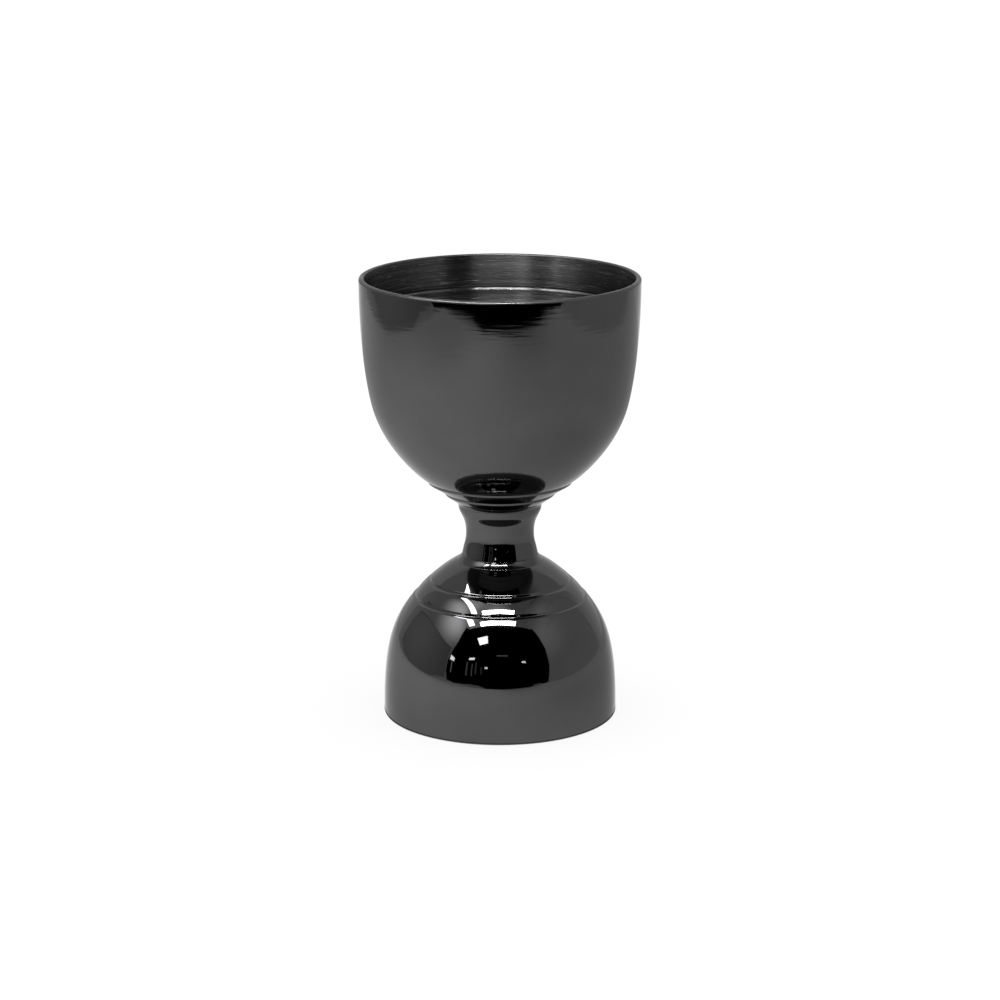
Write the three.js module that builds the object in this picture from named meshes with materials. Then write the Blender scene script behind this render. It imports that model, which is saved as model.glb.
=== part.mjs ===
// A double-ended bell jigger in black-nickel plated stainless steel: a large cup on top, a small
// bell-shaped cup upside down as the foot, and a short waisted stem brazed between their bottoms.
// Millimetres, +Z up. The origin is on the table, under the middle of the small cup's mouth.
import * as THREE from 'three';

// ---- large cup: 50 ml just under the brim, with a 40 ml line inside ----
const LARGE_LIP_Z = 78.45;
const LARGE_LIP_R = 24.5;
const LARGE_SHOULDER_Z = 54.8;
const LARGE_SHOULDER_R = 22.09;
const LARGE_LIP_WALL = 0.95;
const LARGE_BODY_WALL = 1.0;
const LARGE_BOTTOM_Z = 39.0;
const MEASURE_LINE_Z = 72.3;
const MEASURE_LINE_DEPTH = 0.2;
const MEASURE_LINE_HALF_WIDTH = 0.25;

// ---- two proud steps turned on the large cup's underside ----
const OUTER_STEP_Z = 42.5;
const OUTER_STEP_R = 12.84;
const INNER_STEP_Z = 40.28;
const INNER_STEP_R = 9.8;
const STEP_HEIGHT = 0.33;
const STEP_SLANT = 0.06;

// ---- stem and the dished seats at its ends ----
const STEM_TOP_Z = 38.23;
const STEM_TOP_R = 7.35;
const WAIST_Z = 32.9;
const WAIST_R = 6.02;
const STEM_FOOT_Z = 28.15;
const STEM_FOOT_R = 6.85;
const UPPER_SEAT_Z = 37.4;
const LOWER_SEAT_Z = 29.7;

// ---- small cup: 25 ml to the brim, mouth down, with two grooves turned around its crown ----
const SMALL_LIP_R = 20.75;
const SMALL_SHOULDER_Z = 14.4;
const SMALL_SHOULDER_R = 19.27;
const SMALL_WALL = 1.15;
const SMALL_BOTTOM_Z = 28.4;
const CROWN_GROOVE_Z = 24.2;
const CROWN_GROOVE_R = 12.55;
const FLANK_GROOVE_Z = 21.4;
const FLANK_GROOVE_R = 15.3;
const GROOVE_HALF_WIDTH = 0.36;
const GROOVE_DEPTH = 0.17;

const LIP_ROUND = 0.35;
const INNER_LIP_ROUND = 0.15;
const TURNS = 72;

const at = (r, z) => new THREE.Vector2(r, z);

// A smooth stretch of outline between two points, shaped by a pull at each end.
function bend(from, pullFrom, pullTo, to, steps) {
  return new THREE.CubicBezierCurve(from, pullFrom, pullTo, to).getPoints(steps);
}

// The hollow face of a fillet, drawn in towards the corner that it fills.
function filletFace(from, corner, to) {
  return bend(from, from.clone().lerp(corner, 0.35), to.clone().lerp(corner, 0.35), to, 3);
}

// A quarter turn of a rounded edge, about its centre.
function quarterRound(r, z, radius, startAngle) {
  const points = [];
  for (let i = 0; i <= 3; i += 1) {
    const angle = startAngle + (Math.PI / 2) * (i / 3);
    points.push(at(r + radius * Math.cos(angle), z + radius * Math.sin(angle)));
  }
  return points;
}

// A shallow round-bottomed groove, from its lower edge to its upper one on a 45-degree flank.
function groove(r, z) {
  const points = [];
  for (let i = 0; i <= 4; i += 1) {
    const along = GROOVE_HALF_WIDTH * (i / 2 - 1);
    const depth = GROOVE_DEPTH * Math.sin((Math.PI * i) / 4);
    points.push(at(r - (along + depth) * Math.SQRT1_2, z + (along - depth) * Math.SQRT1_2));
  }
  return points;
}

// Joins stretches end to end and drops the points that they share.
function outline(...stretches) {
  const points = [];
  for (const point of stretches.flat()) {
    const last = points[points.length - 1];
    if (!last || last.distanceTo(point) > 1e-6) {
      points.push(point);
    }
  }
  return points;
}

// Spins an outline about the vertical axis. The outline has the metal on its left hand.
function spunPiece(name, roughness, points) {
  const geometry = new THREE.LatheGeometry(points, TURNS);
  geometry.rotateX(Math.PI / 2);
  const plating = new THREE.MeshStandardMaterial({ color: 0x4d4d4d, metalness: 1, roughness });
  const mesh = new THREE.Mesh(geometry, plating);
  mesh.name = name;
  return mesh;
}

// ---- the two joints: seats from the axis outwards, and the corners that the fillets fill ----
const upperCorner = at(STEM_TOP_R, STEM_TOP_Z);
const upperFilletOnCup = at(STEM_TOP_R + 0.4, STEM_TOP_Z + 0.3);
const upperFilletOnStem = at(STEM_TOP_R, STEM_TOP_Z - 0.38);
const upperSeat = bend(
  at(0, UPPER_SEAT_Z), at(2.6, UPPER_SEAT_Z), at(5.2, UPPER_SEAT_Z + 0.1), upperCorner, 5,
);

const lowerCorner = at(STEM_FOOT_R, STEM_FOOT_Z);
const lowerFilletOnCup = at(STEM_FOOT_R + 0.9, STEM_FOOT_Z - 0.4);
const lowerFilletOnStem = at(STEM_FOOT_R - 0.13, STEM_FOOT_Z + 0.8);
const lowerSeat = bend(
  at(0, LOWER_SEAT_Z), at(2.6, LOWER_SEAT_Z), at(5.0, LOWER_SEAT_Z - 0.6), lowerCorner, 5,
);

function largeCup() {
  const shoulder = at(LARGE_SHOULDER_R, LARGE_SHOULDER_Z);
  const lipEdgeZ = LARGE_LIP_Z - LIP_ROUND;
  const steps = [
    at(INNER_STEP_R - STEP_SLANT, INNER_STEP_Z - STEP_HEIGHT),
    at(INNER_STEP_R, INNER_STEP_Z),
    at(OUTER_STEP_R - STEP_SLANT, OUTER_STEP_Z - STEP_HEIGHT),
    at(OUTER_STEP_R, OUTER_STEP_Z),
  ];
  const outside = outline(
    upperSeat,
    [upperFilletOnCup],
    steps,
    bend(steps[3], at(14.27, 43.25), at(19.83, 48.02), shoulder, 8),
    bend(shoulder, at(22.83, 57.02), at(LARGE_LIP_R, 64.8), at(LARGE_LIP_R, lipEdgeZ), 8),
  );

  const insideR = LARGE_LIP_R - LARGE_LIP_WALL;
  const lip = outline(
    quarterRound(LARGE_LIP_R - LIP_ROUND, lipEdgeZ, LIP_ROUND, 0),
    quarterRound(insideR + INNER_LIP_ROUND, LARGE_LIP_Z - INNER_LIP_ROUND, INNER_LIP_ROUND, Math.PI / 2),
  );

  const lineFoot = at(insideR, MEASURE_LINE_Z - MEASURE_LINE_HALF_WIDTH);
  const measureLine = [
    at(insideR, MEASURE_LINE_Z + MEASURE_LINE_HALF_WIDTH),
    at(insideR + MEASURE_LINE_DEPTH, MEASURE_LINE_Z),
    lineFoot,
  ];
  const insideShoulder = at(LARGE_SHOULDER_R - LARGE_BODY_WALL, LARGE_SHOULDER_Z + 0.38);
  const inside = outline(
    bend(lineFoot, at(insideR, 67.0), at(21.83, 57.4), insideShoulder, 7),
    bend(insideShoulder, at(18.78, 47.2), at(9.8, LARGE_BOTTOM_Z), at(0, LARGE_BOTTOM_Z), 11),
  );
  return spunPiece('large_cup', 0.16, outline(outside, lip, measureLine, inside));
}

function smallCup() {
  const insideR = SMALL_LIP_R - SMALL_WALL;
  const insideShoulder = at(SMALL_SHOULDER_R - SMALL_WALL, SMALL_SHOULDER_Z - 0.35);
  const inside = outline(
    bend(at(0, SMALL_BOTTOM_Z), at(9.0, SMALL_BOTTOM_Z), at(16.1, 20.6), insideShoulder, 11),
    bend(insideShoulder, at(19.3, 10.2), at(insideR, 4.9), at(insideR, LIP_ROUND), 6),
  );
  const lip = outline(
    quarterRound(insideR + LIP_ROUND, LIP_ROUND, LIP_ROUND, Math.PI),
    quarterRound(SMALL_LIP_R - LIP_ROUND, LIP_ROUND, LIP_ROUND, 1.5 * Math.PI),
  );

  const shoulder = at(SMALL_SHOULDER_R, SMALL_SHOULDER_Z);
  const flankGroove = groove(FLANK_GROOVE_R, FLANK_GROOVE_Z);
  const crownGroove = groove(CROWN_GROOVE_R, CROWN_GROOVE_Z);
  const outside = outline(
    bend(at(SMALL_LIP_R, LIP_ROUND), at(SMALL_LIP_R + 0.05, 4.9), at(20.56, 10.46), shoulder, 6),
    bend(shoulder, at(18.62, 16.45), at(17.4, 18.9), flankGroove[0], 5),
    flankGroove,
    bend(flankGroove[4], at(14.5, 22.5), at(13.6, 23.4), crownGroove[0], 2),
    crownGroove,
    bend(crownGroove[4], at(11.3, 25.3), at(9.5, 26.9), lowerFilletOnCup, 5),
    lowerSeat.toReversed(),
  );
  return spunPiece('small_cup', 0.08, outline(inside, lip, outside));
}

// The stem is solid, turned from bar, and dished at both ends to sit on the cups.
function stem() {
  const waist = at(WAIST_R, WAIST_Z);
  return spunPiece('stem', 0.12, outline(
    lowerSeat,
    bend(lowerFilletOnStem, at(6.3, 31.0), at(WAIST_R, 31.2), waist, 6),
    bend(waist, at(WAIST_R, 35.6), at(7.2, 36.7), upperFilletOnStem, 6),
    upperSeat.toReversed(),
  ));
}

// A ring of filler metal in the corner between the stem and a cup.
function brazeRing(name, from, corner, to) {
  return spunPiece(name, 0.12, outline([corner], filletFace(from, corner, to), [corner]));
}

const jigger = new THREE.Group();
jigger.name = 'bar_jigger';
jigger.add(
  largeCup(),
  smallCup(),
  stem(),
  brazeRing('upper_braze_ring', upperFilletOnStem, upperCorner, upperFilletOnCup),
  brazeRing('lower_braze_ring', lowerFilletOnCup, lowerCorner, lowerFilletOnStem),
);

export default jigger;
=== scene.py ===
"""The looks of the bar jigger: black-nickel plated cups and stem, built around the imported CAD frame."""

import math

import bpy
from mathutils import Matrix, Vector
from mathutils.geometry import interpolate_bezier


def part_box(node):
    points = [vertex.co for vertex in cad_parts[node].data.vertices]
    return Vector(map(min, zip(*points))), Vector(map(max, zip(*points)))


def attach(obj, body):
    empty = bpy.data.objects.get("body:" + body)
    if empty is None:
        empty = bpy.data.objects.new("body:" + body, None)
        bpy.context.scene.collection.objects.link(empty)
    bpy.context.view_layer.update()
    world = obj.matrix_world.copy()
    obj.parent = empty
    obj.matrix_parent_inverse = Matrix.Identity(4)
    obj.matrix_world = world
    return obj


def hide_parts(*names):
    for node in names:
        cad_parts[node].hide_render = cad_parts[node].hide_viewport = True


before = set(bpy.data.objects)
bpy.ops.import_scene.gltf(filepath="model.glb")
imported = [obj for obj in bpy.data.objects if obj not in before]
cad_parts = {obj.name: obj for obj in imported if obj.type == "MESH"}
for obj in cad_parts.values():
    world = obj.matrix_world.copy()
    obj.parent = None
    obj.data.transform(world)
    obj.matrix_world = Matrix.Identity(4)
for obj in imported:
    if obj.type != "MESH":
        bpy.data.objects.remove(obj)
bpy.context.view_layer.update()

MM = 0.001
ROUND_STEPS = 288
SAME = 1e-3  # outline points closer than this, in millimetres, are one point

# ---- driving dimensions: millimetres above the table and out from the axis ----
TOP_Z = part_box("large_cup")[1].z / MM
TOP_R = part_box("large_cup")[1].x / MM
FOOT_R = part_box("small_cup")[1].x / MM
LIP_ROUND = 0.35
LARGE_LIP_OUTER_ROUND = 0.45
LARGE_LIP_INNER_ROUND = 0.3
LARGE_LIP_WALL = 0.95
LARGE_BODY_WALL = 1.0
LARGE_BOTTOM_Z = 39.0
SMALL_WALL = 1.15
SMALL_BOTTOM_Z = 28.4
LINE_Z = 72.3
LINE_DEPTH = 0.22
LINE_HALF_WIDTH = 0.33
STEP_HEIGHT = 0.36
STEP_SLANT = 0.06
FLANK_GROOVE = (15.2, 21.4)
CROWN_GROOVE = (12.55, 24.2)
GROOVE_DEPTH = 0.17
GROOVE_HALF_WIDTH = 0.4
TURNED_EDGE = 0.05

UPPER_CORNER = (7.35, 38.23)
UPPER_FILLET_ON_CUP = (7.75, 38.53)
UPPER_FILLET_ON_STEM = (7.35, 37.85)
UPPER_SEAT_Z = 37.4
LOWER_CORNER = (6.85, 28.15)
LOWER_FILLET_ON_CUP = (7.75, 27.75)
LOWER_FILLET_ON_STEM = (6.72, 28.95)
LOWER_SEAT_Z = 29.7
WAIST = (6.02, 32.9)
LARGE_SHOULDER = (22.09, 54.8)
SMALL_SHOULDER = (19.27, 14.4)
INNER_STEP = (9.8, 40.28)
OUTER_STEP = (12.84, 42.5)

# the finishes of a cup, as places in its list of materials
OUTSIDE, LIP, INSIDE = 0, 1, 2


# ---------------------------------------------------------------------------
# outlines: lists of (radius, height) in millimetres
# ---------------------------------------------------------------------------
def bend(start, pull_start, pull_end, end, steps):
    """A smooth stretch between two points, shaped by a pull at each end."""
    corners = [Vector((*p, 0)) for p in (start, pull_start, pull_end, end)]
    return [(p.x, p.y) for p in interpolate_bezier(*corners, steps + 1)]


def arc(centre, radius, start, end, steps=8):
    """A round stretch about a centre, between two angles in degrees."""
    points = []
    for i in range(steps + 1):
        angle = math.radians(start + (end - start) * i / steps)
        points.append((centre[0] + radius * math.cos(angle), centre[1] + radius * math.sin(angle)))
    return points


def softened(corners, edge=TURNED_EDGE):
    """A run of straight lines whose corners, all but the two ends, are rounded over by about edge."""
    points = [corners[0]]
    for before, corner, after in zip(corners, corners[1:], corners[2:]):
        here = Vector(corner)
        entry = here + (Vector(before) - here).normalized() * edge
        leave = here + (Vector(after) - here).normalized() * edge
        points += bend(entry, here.lerp(entry, 0.4), here.lerp(leave, 0.4), leave, 4)
    points.append(corners[-1])
    return points


def fillet_face(start, corner, end):
    """The hollow face of a fillet, drawn in towards the corner that it fills."""
    a, c, b = Vector(start), Vector(corner), Vector(end)
    return bend(a, a.lerp(c, 0.35), b.lerp(c, 0.35), b, 8)


def groove(middle, steps=14):
    """A shallow groove turned on a 45-degree flank, from its lower edge to its upper one."""
    r, z = middle
    points = []
    for i in range(steps + 1):
        t = i / steps
        along = GROOVE_HALF_WIDTH * (2 * t - 1)
        inward = GROOVE_DEPTH * math.sin(math.pi * t) ** 1.3
        points.append((r - (along + inward) * math.sqrt(0.5), z + (along - inward) * math.sqrt(0.5)))
    return points


def joined(*stretches):
    """Stretches end to end, without the points that they share."""
    points = []
    for point in (p for stretch in stretches for p in stretch):
        if not points or math.dist(points[-1], point) > SAME:
            points.append((point[0], point[1]))
    return points


UPPER_SEAT = bend((0, UPPER_SEAT_Z), (2.6, UPPER_SEAT_Z), (5.2, UPPER_SEAT_Z + 0.1), UPPER_CORNER, 10)
LOWER_SEAT = bend((0, LOWER_SEAT_Z), (2.6, LOWER_SEAT_Z), (5.0, LOWER_SEAT_Z - 0.6), LOWER_CORNER, 10)


def large_cup_outline():
    """Stretches of the large cup, each with its finish, from the stem over the lip to the inside."""
    edge_z = TOP_Z - LARGE_LIP_OUTER_ROUND
    haunch = bend(OUTER_STEP, (14.27, 43.25), (19.83, 48.02), LARGE_SHOULDER, 56)
    wall = bend(LARGE_SHOULDER, (22.83, 57.02), (TOP_R, 64.8), (TOP_R, edge_z), 56)
    steps = softened([
        UPPER_FILLET_ON_CUP,
        (INNER_STEP[0] - STEP_SLANT, INNER_STEP[1] - STEP_HEIGHT),
        INNER_STEP,
        (OUTER_STEP[0] - STEP_SLANT, OUTER_STEP[1] - STEP_HEIGHT),
        OUTER_STEP,
        haunch[1],
    ])
    inside_r = TOP_R - LARGE_LIP_WALL
    inner_round = LARGE_LIP_INNER_ROUND
    lip = joined(
        arc((TOP_R - LARGE_LIP_OUTER_ROUND, edge_z), LARGE_LIP_OUTER_ROUND, 0, 90),
        arc((inside_r + inner_round, TOP_Z - inner_round), inner_round, 90, 180),
    )
    line = softened([
        (inside_r, LINE_Z + 1),
        (inside_r, LINE_Z + LINE_HALF_WIDTH),
        (inside_r + LINE_DEPTH, LINE_Z),
        (inside_r, LINE_Z - LINE_HALF_WIDTH),
        (inside_r, LINE_Z - 0.5),
    ])
    shoulder = (LARGE_SHOULDER[0] - LARGE_BODY_WALL, LARGE_SHOULDER[1] + 0.38)
    inside = joined(
        line,
        bend(line[-1], (inside_r, 67.0), (21.83, 57.4), shoulder, 40),
        bend(shoulder, (18.78, 47.2), (9.8, LARGE_BOTTOM_Z), (0, LARGE_BOTTOM_Z), 60),
    )
    return [
        (joined(UPPER_SEAT, steps, haunch[1:], wall), OUTSIDE),
        (lip, LIP),
        (joined([lip[-1]], inside), INSIDE),
    ]


def small_cup_outline():
    """Stretches of the small cup, each with its finish, from the inside over the lip to the stem."""
    inside_r = FOOT_R - SMALL_WALL
    shoulder = (SMALL_SHOULDER[0] - SMALL_WALL, SMALL_SHOULDER[1] - 0.35)
    inside = joined(
        bend((0, SMALL_BOTTOM_Z), (9.0, SMALL_BOTTOM_Z), (16.1, 20.6), shoulder, 56),
        bend(shoulder, (19.3, 10.2), (inside_r, 4.9), (inside_r, LIP_ROUND), 40),
    )
    lip = joined(
        arc((inside_r + LIP_ROUND, LIP_ROUND), LIP_ROUND, 180, 270),
        arc((FOOT_R - LIP_ROUND, LIP_ROUND), LIP_ROUND, 270, 360),
    )
    flank_groove = groove(FLANK_GROOVE)
    crown_groove = groove(CROWN_GROOVE)
    outside = joined(
        bend((FOOT_R, LIP_ROUND), (FOOT_R + 0.05, 4.9), (20.56, 10.46), SMALL_SHOULDER, 48),
        bend(SMALL_SHOULDER, (18.62, 16.45), (17.4, 18.9), flank_groove[0], 40),
        flank_groove,
        bend(flank_groove[-1], (14.5, 22.24), (13.71, 23.26), crown_groove[0], 16),
        crown_groove,
        bend(crown_groove[-1], (11.3, 25.3), (9.5, 26.9), LOWER_FILLET_ON_CUP, 32),
        LOWER_SEAT[::-1],
    )
    return [(inside, INSIDE), (lip, LIP), (outside, OUTSIDE)]


def stem_outline():
    """The waisted stem, between the two seats."""
    lower = bend(LOWER_FILLET_ON_STEM, (6.3, 31.0), (WAIST[0], 31.2), WAIST, 28)
    upper = bend(WAIST, (WAIST[0], 35.8), (7.35, 36.3), UPPER_FILLET_ON_STEM, 28)
    return [(joined(LOWER_SEAT, lower, upper, UPPER_SEAT[::-1]), OUTSIDE)]


def ring_outline(start, corner, end):
    """A closed ring of filler metal in the corner between the stem and a cup."""
    return [(joined([corner], fillet_face(start, corner, end), [corner]), OUTSIDE)]


# ---------------------------------------------------------------------------
# solids of revolution
# ---------------------------------------------------------------------------
def spun(name, stretches, materials, node):
    """A closed solid spun from an outline, in place of a CAD node.

    Its UV map holds the turn about the axis and the length along the outline in metres.
    """
    outline, finishes = [], []
    for points, finish in stretches:
        for point in points:
            if outline and math.dist(outline[-1], point) < SAME:
                continue
            if outline:
                finishes.append(finish)
            outline.append(point)
    closed = math.dist(outline[0], outline[-1]) < SAME
    if closed:
        outline.pop()
    lengths = [0.0]
    for a, b in zip(outline, outline[1:] + outline[:1]):
        lengths.append(lengths[-1] + math.dist(a, b) * MM)

    vertices, rings = [], []
    for r, z in outline:
        if r < 1e-6:
            rings.append([len(vertices)] * ROUND_STEPS)
            vertices.append((0, 0, z * MM))
            continue
        rings.append(list(range(len(vertices), len(vertices) + ROUND_STEPS)))
        for k in range(ROUND_STEPS):
            turn = math.tau * k / ROUND_STEPS
            vertices.append((r * MM * math.sin(turn), -r * MM * math.cos(turn), z * MM))

    faces, uvs, face_finishes = [], [], []
    for i in range(len(outline) if closed else len(outline) - 1):
        low, high = rings[i], rings[(i + 1) % len(outline)]
        for k in range(ROUND_STEPS):
            nxt = (k + 1) % ROUND_STEPS
            corners = [
                (low[k], k, i),
                (low[nxt], k + 1, i),
                (high[nxt], k + 1, i + 1),
                (high[k], k, i + 1),
            ]
            kept = []
            for corner in corners:
                if corner[0] not in [c[0] for c in kept]:
                    kept.append(corner)
            faces.append([c[0] for c in kept])
            uvs += [(c[1] / ROUND_STEPS, lengths[c[2]]) for c in kept]
            face_finishes.append(finishes[i])

    mesh = bpy.data.meshes.new(name)
    mesh.from_pydata(vertices, [], faces)
    layer = mesh.uv_layers.new(name="turned")
    for loop, uv in zip(layer.data, uvs):
        loop.uv = uv
    for material in materials:
        mesh.materials.append(material)
    mesh.polygons.foreach_set("material_index", face_finishes)
    mesh.shade_smooth()
    mesh.update()
    piece = bpy.data.objects.new(name, mesh)
    bpy.context.scene.collection.objects.link(piece)
    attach(piece, "root")
    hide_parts(node)


# ---------------------------------------------------------------------------
# materials
# ---------------------------------------------------------------------------
class Shader:
    """A small helper that adds nodes to a material and links them."""

    def __init__(self, name):
        self.material = bpy.data.materials.new(name)
        self.material.use_nodes = True
        self.tree = self.material.node_tree
        self.tree.nodes.clear()
        self.output = self.tree.nodes.new("ShaderNodeOutputMaterial")

    def add(self, kind, inputs=None, **settings):
        """A new node. An input is a value, or another node's socket to link."""
        node = self.tree.nodes.new(kind)
        for key, value in settings.items():
            setattr(node, key, value)
        for key, value in (inputs or {}).items():
            if isinstance(value, bpy.types.NodeSocket):
                self.tree.links.new(value, node.inputs[key])
            else:
                node.inputs[key].default_value = value
        return node

    def math(self, operation, *values):
        return self.add("ShaderNodeMath", dict(enumerate(values)), operation=operation).outputs[0]

    def spread(self, value, from_low, from_high, to_low, to_high):
        """Maps one range onto another, and keeps to its ends."""
        inputs = {0: value, 1: from_low, 2: from_high, 3: to_low, 4: to_high}
        return self.add("ShaderNodeMapRange", inputs).outputs[0]

    def turned_noise(self, around, along, detail=2.0, seed=0.0):
        """Noise drawn out around the axis: around and along are its cycles per metre each way."""
        place = self.add("ShaderNodeSeparateXYZ", {0: self.add("ShaderNodeTexCoord").outputs["Object"]})
        turned = self.add("ShaderNodeUVMap", uv_map="turned").outputs[0]
        length = self.add("ShaderNodeSeparateXYZ", {0: turned}).outputs[1]
        where = self.add("ShaderNodeCombineXYZ", {
            0: self.math("MULTIPLY", place.outputs[0], around),
            1: self.math("MULTIPLY", place.outputs[1], around),
            2: self.math("MULTIPLY_ADD", length, along, seed),
        })
        inputs = {"Vector": where.outputs[0], "Scale": 1.0, "Detail": detail}
        return self.add("ShaderNodeTexNoise", inputs).outputs[0]

    def noise(self, cycles, detail=2.0, roughness=0.5):
        """Even noise with this many cycles per metre."""
        place = self.add("ShaderNodeTexCoord").outputs["Object"]
        inputs = {"Vector": place, "Scale": cycles, "Detail": detail, "Roughness": roughness}
        return self.add("ShaderNodeTexNoise", inputs).outputs[0]

    def bump(self, height, distance, normal=None):
        inputs = {"Height": height, "Distance": distance, "Strength": 1.0}
        if normal is not None:
            inputs["Normal"] = normal
        return self.add("ShaderNodeBump", inputs).outputs[0]

    def colour(self, red, green, blue):
        return self.add("ShaderNodeCombineColor", {0: red, 1: green, 2: blue}).outputs[0]

    def show(self, shader_node):
        """Makes a node the surface, and gives the finished material."""
        self.tree.links.new(shader_node.outputs[0], self.output.inputs["Surface"])
        return self.material


PLATING = 0.075  # how much light black nickel returns face on
EDGE_TINT = (0.7, 0.7, 0.7, 1)  # and the tint of what it returns at a grazing angle
PATCHINESS = 0.06  # how much its colour varies either way
BLUENESS = 1.02


def plating_colour(shader):
    """Black nickel, very slightly uneven in patches about a centimetre across."""
    patches = shader.noise(110, detail=6, roughness=0.6)
    low, high = PLATING * (1 - PATCHINESS), PLATING * (1 + PATCHINESS)
    shade = shader.spread(patches, 0.3, 0.7, low, high)
    return shader.colour(shade, shade, shader.math("MULTIPLY", shade, BLUENESS))


def mirror_plating(name, roughness, rings, dents):
    """Polished plating: faint rings of buffing, shallow dents and wipe marks. Heights are in metres."""
    shader = Shader(name)
    normal = shader.bump(shader.noise(130, detail=1), dents)
    patchy = shader.spread(shader.noise(45, detail=1), 0.4, 0.62, 0.25, 1.4)
    buffed = shader.math("MULTIPLY", shader.turned_noise(around=120, along=1500, detail=4), patchy)
    normal = shader.bump(buffed, rings, normal)
    fine_rings = shader.turned_noise(around=60, along=9000, detail=2, seed=7.0)
    normal = shader.bump(fine_rings, rings * 0.02, normal)
    wipes = shader.noise(140, detail=6, roughness=0.7)
    return shader.show(shader.add("ShaderNodeBsdfPrincipled", {
        "Base Color": plating_colour(shader),
        "Metallic": 1.0,
        "Specular Tint": EDGE_TINT,
        "Roughness": shader.spread(wipes, 0.35, 0.75, roughness * 0.7, roughness * 1.6),
        "Normal": normal,
    }))


def brushed_plating(name):
    """Plating over a wall left as it was turned: fine rings that draw the light out up and down."""
    shader = Shader(name)
    normal = shader.bump(shader.turned_noise(around=10, along=2600, detail=3), 2e-5)
    fine_rings = shader.turned_noise(around=50, along=9000, detail=2, seed=3.0)
    normal = shader.bump(fine_rings, 1.2e-5, normal)
    rings = shader.turned_noise(around=25, along=5200, detail=3, seed=11.0)
    chatter = shader.turned_noise(around=340, along=5200, detail=2, seed=5.0)
    bright_marks = shader.spread(chatter, 0.6, 0.7, 1.0, 2.6)
    ring_shade = shader.spread(rings, 0.3, 0.7, PLATING, PLATING * 1.7)
    shade = shader.math("MULTIPLY", ring_shade, bright_marks)
    return shader.show(shader.add("ShaderNodeBsdfPrincipled", {
        "Base Color": shader.colour(shade, shade, shade),
        "Metallic": 1.0,
        "Specular Tint": EDGE_TINT,
        "Roughness": shader.spread(rings, 0.3, 0.7, 0.25, 0.31),
        "Anisotropic": 1.0,
        "Anisotropic Rotation": 0.25,
        "Tangent": shader.add("ShaderNodeTangent", direction_type="RADIAL", axis="Z").outputs[0],
        "Normal": normal,
    }))


# ---------------------------------------------------------------------------
# the object
# ---------------------------------------------------------------------------
soft_mirror = mirror_plating("soft_mirror_plating", roughness=0.06, rings=9e-6, dents=2e-5)
sharp_mirror = mirror_plating("sharp_mirror_plating", roughness=0.03, rings=1.4e-6, dents=6e-6)
lip_mirror = mirror_plating("lip_plating", roughness=0.36, rings=1e-6, dents=8e-5)
braze_mirror = mirror_plating("braze_plating", roughness=0.1, rings=1.5e-6, dents=2e-5)
brushed = brushed_plating("brushed_plating")

spun(
    "large_cup_shell",
    large_cup_outline(),
    [soft_mirror, lip_mirror, brushed],
    "large_cup",
)
spun(
    "small_cup_shell",
    small_cup_outline(),
    [sharp_mirror, lip_mirror, brushed],
    "small_cup",
)
spun("stem_spool", stem_outline(), [sharp_mirror], "stem")
spun(
    "upper_braze_fillet",
    ring_outline(UPPER_FILLET_ON_STEM, UPPER_CORNER, UPPER_FILLET_ON_CUP),
    [braze_mirror],
    "upper_braze_ring",
)
spun(
    "lower_braze_fillet",
    ring_outline(LOWER_FILLET_ON_CUP, LOWER_CORNER, LOWER_FILLET_ON_STEM),
    [braze_mirror],
    "lower_braze_ring",
)


# ---------------------------------------------------------------------------
# the studio: a white tent around the object, open at the front to a dark room
# ---------------------------------------------------------------------------
def lit(name, base, pools=()):
    """A surface that glows evenly, with pools of more (or less) light.

    A pool is (centre, radius, amount), with its centre and radius in millimetres.
    """
    shader = Shader(name)
    place = shader.add("ShaderNodeTexCoord").outputs["Object"]
    strength = base
    for centre, radius, amount in pools:
        inputs = {0: place, 1: tuple(Vector(centre) * MM)}
        away = shader.add("ShaderNodeVectorMath", inputs, operation="DISTANCE").outputs["Value"]
        inputs = {0: away, 1: 0.0, 2: radius * MM, 3: amount, 4: 0.0}
        pool = shader.add("ShaderNodeMapRange", inputs, interpolation_type="SMOOTHSTEP").outputs[0]
        strength = shader.math("ADD", strength, pool)
    return shader.show(shader.add("ShaderNodeEmission", {"Strength": strength}))


def card(name, corners, material):
    """A flat studio surface, seen only in reflections. Its corners are in millimetres."""
    mesh = bpy.data.meshes.new(name)
    mesh.from_pydata([Vector(c) * MM for c in corners], [], [list(range(len(corners)))])
    mesh.materials.append(material)
    made = bpy.data.objects.new(name, mesh)
    bpy.context.scene.collection.objects.link(made)
    made.visible_camera = False
    made.visible_diffuse = False
    made.visible_shadow = False


def rectangle(low, high):
    """The corners of a rectangle, from its lowest and highest ones."""
    return [low, (high[0], low[1]), high, (low[0], high[1])]


def side_wall(x, outline):
    """Corners given as (y, z), on an upright plane at the left or right."""
    return [(x, y, z) for y, z in outline]


def end_wall(y, outline):
    """Corners given as (x, z), on an upright plane at the front or back."""
    return [(x, y, z) for x, z in outline]


def level(z, outline):
    """Corners given as (x, y), on a level plane."""
    return [(x, y, z) for x, y in outline]


TENT = 300  # half of its width and of its depth
TENT_TOP = 600
IN_FRONT = 2  # how far one card stands in front of another
FLOOR_LIFT = 0.2  # how far the tent's floor lies above the table
PANEL_EDGE = 4  # how far the dark edge of a panel shows around it
WALL_SHAPE = rectangle((-TENT, 0), (TENT, TENT_TOP))
FLOOR_SHAPE = rectangle((-TENT, -TENT), (TENT, TENT))

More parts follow.
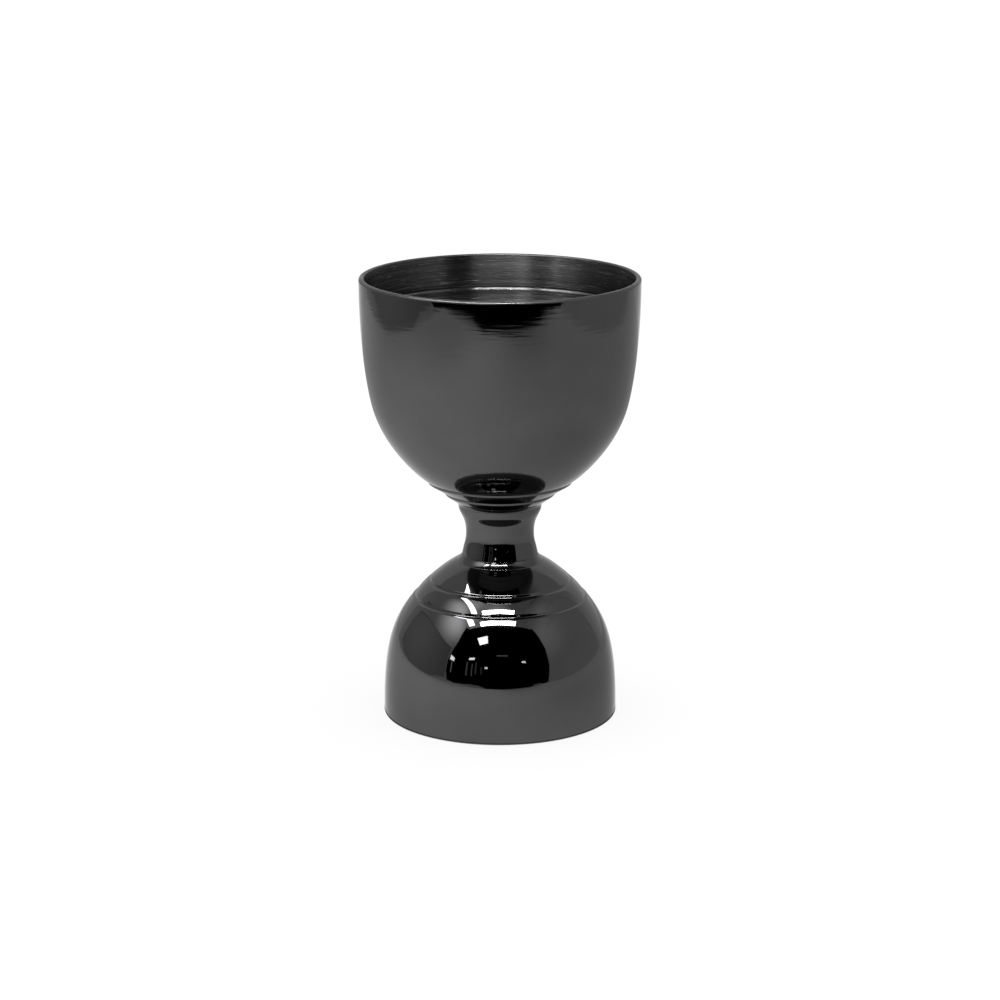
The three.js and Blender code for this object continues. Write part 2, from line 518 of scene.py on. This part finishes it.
card("tent_left", side_wall(-TENT, WALL_SHAPE), lit("tent_left", 0.6, [
    ((-TENT, -110, 370), 225, 3.2),
    ((-TENT, 300, 60), 260, 0.15),
]))
card("tent_right", side_wall(TENT, WALL_SHAPE), lit("tent_right", 0.6, [
    ((TENT, -180, 290), 240, 0.42),
    ((TENT, 300, 60), 260, 0.3),
    ((TENT, 0, 720), 340, -0.5),
]))
card("tent_back", end_wall(TENT, WALL_SHAPE), lit("tent_back", 0.95, [
    ((-TENT, TENT, 600), 330, -0.6),
    ((TENT, TENT, 600), 330, -0.5),
]))
card("tent_top", level(TENT_TOP, FLOOR_SHAPE), lit("tent_top", 0.45, [
    ((-TENT, -140, TENT_TOP), 260, 2.2),
    ((-40, -TENT, TENT_TOP), 200, 1.5),
]))
card("tent_front", end_wall(-TENT, WALL_SHAPE), lit("tent_front", 0.5, [
    ((-TENT, -TENT, 480), 240, 1.2),
]))
card("tent_floor", level(FLOOR_LIFT, FLOOR_SHAPE), lit("tent_floor", 0.84, [
    ((-110, 20, 0), 280, 0.5),
    ((-60, -230, 0), 130, 0.22),
    ((-60, -125, 0), 150, 0.12),
    # painted shadow and painted reflection of the object on the tent's floor, darker right behind it
    ((0, 230, 0), 230, -0.62),
    ((-280, 220, 0), 180, 0.35),
    ((120, -290, 0), 150, -0.25),
    # darker beside the foot
    ((45, -15, 0), 90, -0.2),
]))

# the shaded line of table close around the foot, which the small cup mirrors
CONTACT_REACH = 0.25
CONTACT_LIFT = 0.3
contact_r = FOOT_R + CONTACT_REACH
foot_edge = [math.tau * k / 96 for k in range(96)]
card(
    "foot_contact",
    level(CONTACT_LIFT, [(contact_r * math.cos(a), contact_r * math.sin(a)) for a in foot_edge]),
    lit("contact", 0.2),
)

# The edges of the opening, the flaps, the panels and the lamps stand where the reflections of them
# in the photograph put them, worked back to the walls of the tent and then adjusted.
dark = lit("dark_room", 0.0)
opening = [
    (-300, 2), (-235, 5), (-165, 9), (-115, 8), (-70, 0), (0, -1), (160, -1),
    (195, 4), (230, 6), (280, 1), (300, 0), (300, 469), (222, 480), (0, 465), (-259, 480), (-300, 474),
]
floor_edge = [(-10, -300), (0, -290), (80, -282), (148, -282), (200, -286), (290, -290), (300, -300)]
left_flap = [
    (-300, 0), (-224, 8), (-211, 40), (-211, 94), (-219, 142), (-232, 202), (-245, 263),
    (-244, 440), (-300, 474),
]
right_flap = [
    (-300, 0), (-270, 4), (-254, 40), (-244, 80), (-243, 132), (-238, 191), (-246, 263),
    (-256, 355), (-280, 470), (-300, 480),
]
card("dark_front", end_wall(IN_FRONT - TENT, opening), dark)
card("dark_floor", level(IN_FRONT, floor_edge), dark)
card("dark_left", side_wall(IN_FRONT - TENT, left_flap), dark)
card("dark_right", side_wall(TENT - IN_FRONT, right_flap), dark)

left_panel = [
    (-204, 12), (-141, 11), (-116, 5), (-98, 1), (77, 1), (115, 5), (150, 14), (196, 20),
    (186, 164), (75, 190), (-44, 192), (-147, 182), (-208, 180),
]
right_panel = [
    (-139, 17), (-116, 7), (-74, 1), (90, 1), (145, 3), (187, 10), (187, 200), (100, 300), (-139, 300),
]
edge_shade = lit("panel_edge", 0.2)
for side, outline, lighting in (
    (-1, left_panel, lit("left_panel", 0.3, [((-TENT, 60, 130), 300, 0.28)])),
    (1, right_panel, lit("right_panel", 0.63, [((TENT, -180, 290), 240, 0.38)])),
):
    card("panel", side_wall(side * (TENT - 2 * IN_FRONT), outline), lighting)
    grown = [(y + PANEL_EDGE if y > 0 else y, z + PANEL_EDGE) for y, z in outline]
    card("panel_edge", side_wall(side * (TENT - IN_FRONT), grown), edge_shade)

LAMP_Z = 480
front_lamp = lit("front_lamp", 75.0)
left_lamp = lit("left_lamp", 28.0)
front_strip = [(-172, -292), (135, -292), (135, -240), (-172, -240)]
left_strip = [(-288, -264), (-228, -264), (-228, 90), (-272, 90)]
card("front_strip", level(LAMP_Z, front_strip), front_lamp)
card("left_strip", level(LAMP_Z, left_strip), left_lamp)

# a window and small lights in the dark room; a small light is (middle, half its size, strength)
far_y = 2 * IN_FRONT - TENT
window = [(-165, 310), (-88, 324), (-78, 250), (-130, 237)]
card("window", end_wall(far_y, window), lit("daylight", 14.0))
FAR_LIGHTS = [
    ((-167, 135), (20, 8), 9),
    ((-73, 81), (8, 5), 6),
    ((134, 113), (13, 5), 7),
    ((12, 153), (30, 4), 0.6),
    ((-196, 78), (6, 36), 0.4),
    ((-158, 72), (4, 32), 0.4),
    ((-133, 80), (4, 30), 0.3),
    ((-100, 68), (4, 18), 0.2),
]
for (x, z), (half_x, half_z), strength in FAR_LIGHTS:
    corners = rectangle((x - half_x, z - half_z), (x + half_x, z + half_z))
    card("far_light", end_wall(far_y, corners), lit("far_light", strength))

# a small light and a bright edge in front of the left flap
side_x = 2 * IN_FRONT - TENT
side_light = [(-268, 112), (-226, 108), (-226, 142), (-268, 134)]
side_edge = rectangle((-254, 42), (-247, 105))
card("side_light", side_wall(side_x, side_light), lit("side_light", 9.0))
card("side_edge", side_wall(side_x, side_edge), lit("side_edge", 1.0))

world = bpy.data.worlds.new("white_tent")
bpy.context.scene.world = world
world.use_nodes = True
world.node_tree.nodes["Background"].inputs["Color"].default_value = (1, 1, 1, 1)
world.node_tree.nodes["Background"].inputs["Strength"].default_value = 1.0

FLOOR_HALF = 6.0  # metres
FLOOR_PAPER = 0.2
FLOOR_GLOW = 0.83


def floor():
    """A plain white floor. Most of its light is its own, so that only a faint contact shadow shows.

    Reflections don't show it: they show the tent's floor instead.
    """
    mesh = bpy.data.meshes.new("floor")
    corners = rectangle((-FLOOR_HALF, -FLOOR_HALF), (FLOOR_HALF, FLOOR_HALF))
    mesh.from_pydata(level(0, corners), [], [[0, 1, 2, 3]])
    shader = Shader("floor_white")
    paper = shader.add("ShaderNodeBsdfDiffuse", {"Color": (FLOOR_PAPER, FLOOR_PAPER, FLOOR_PAPER, 1)})
    glow = shader.add("ShaderNodeEmission", {"Strength": FLOOR_GLOW})
    both = shader.add("ShaderNodeAddShader", {0: paper.outputs[0], 1: glow.outputs[0]})
    mesh.materials.append(shader.show(both))
    made = bpy.data.objects.new("floor", mesh)
    bpy.context.scene.collection.objects.link(made)
    made.visible_glossy = False


floor()

# ---- camera, at the photograph's viewing angle; distances in millimetres, the pitch in degrees ----
CAMERA_DISTANCE = 484.8
CAMERA_HEIGHT = 163.8
CAMERA_PITCH = 14.4905
SENSOR_WIDTH = 36
LENS = 102.12
camera_data = bpy.data.cameras.new("camera")
camera_data.sensor_width = SENSOR_WIDTH
camera_data.lens = LENS
camera = bpy.data.objects.new("camera", camera_data)
camera.location = Vector((0, -CAMERA_DISTANCE, CAMERA_HEIGHT)) * MM
camera.rotation_euler = (math.radians(90 - CAMERA_PITCH), 0, 0)
bpy.context.scene.collection.objects.link(camera)
bpy.context.scene.camera = camera

# ---- colour: plain, so that white paper is white ----
bpy.context.scene.view_settings.view_transform = "Standard"
bpy.context.scene.view_settings.look = "None"
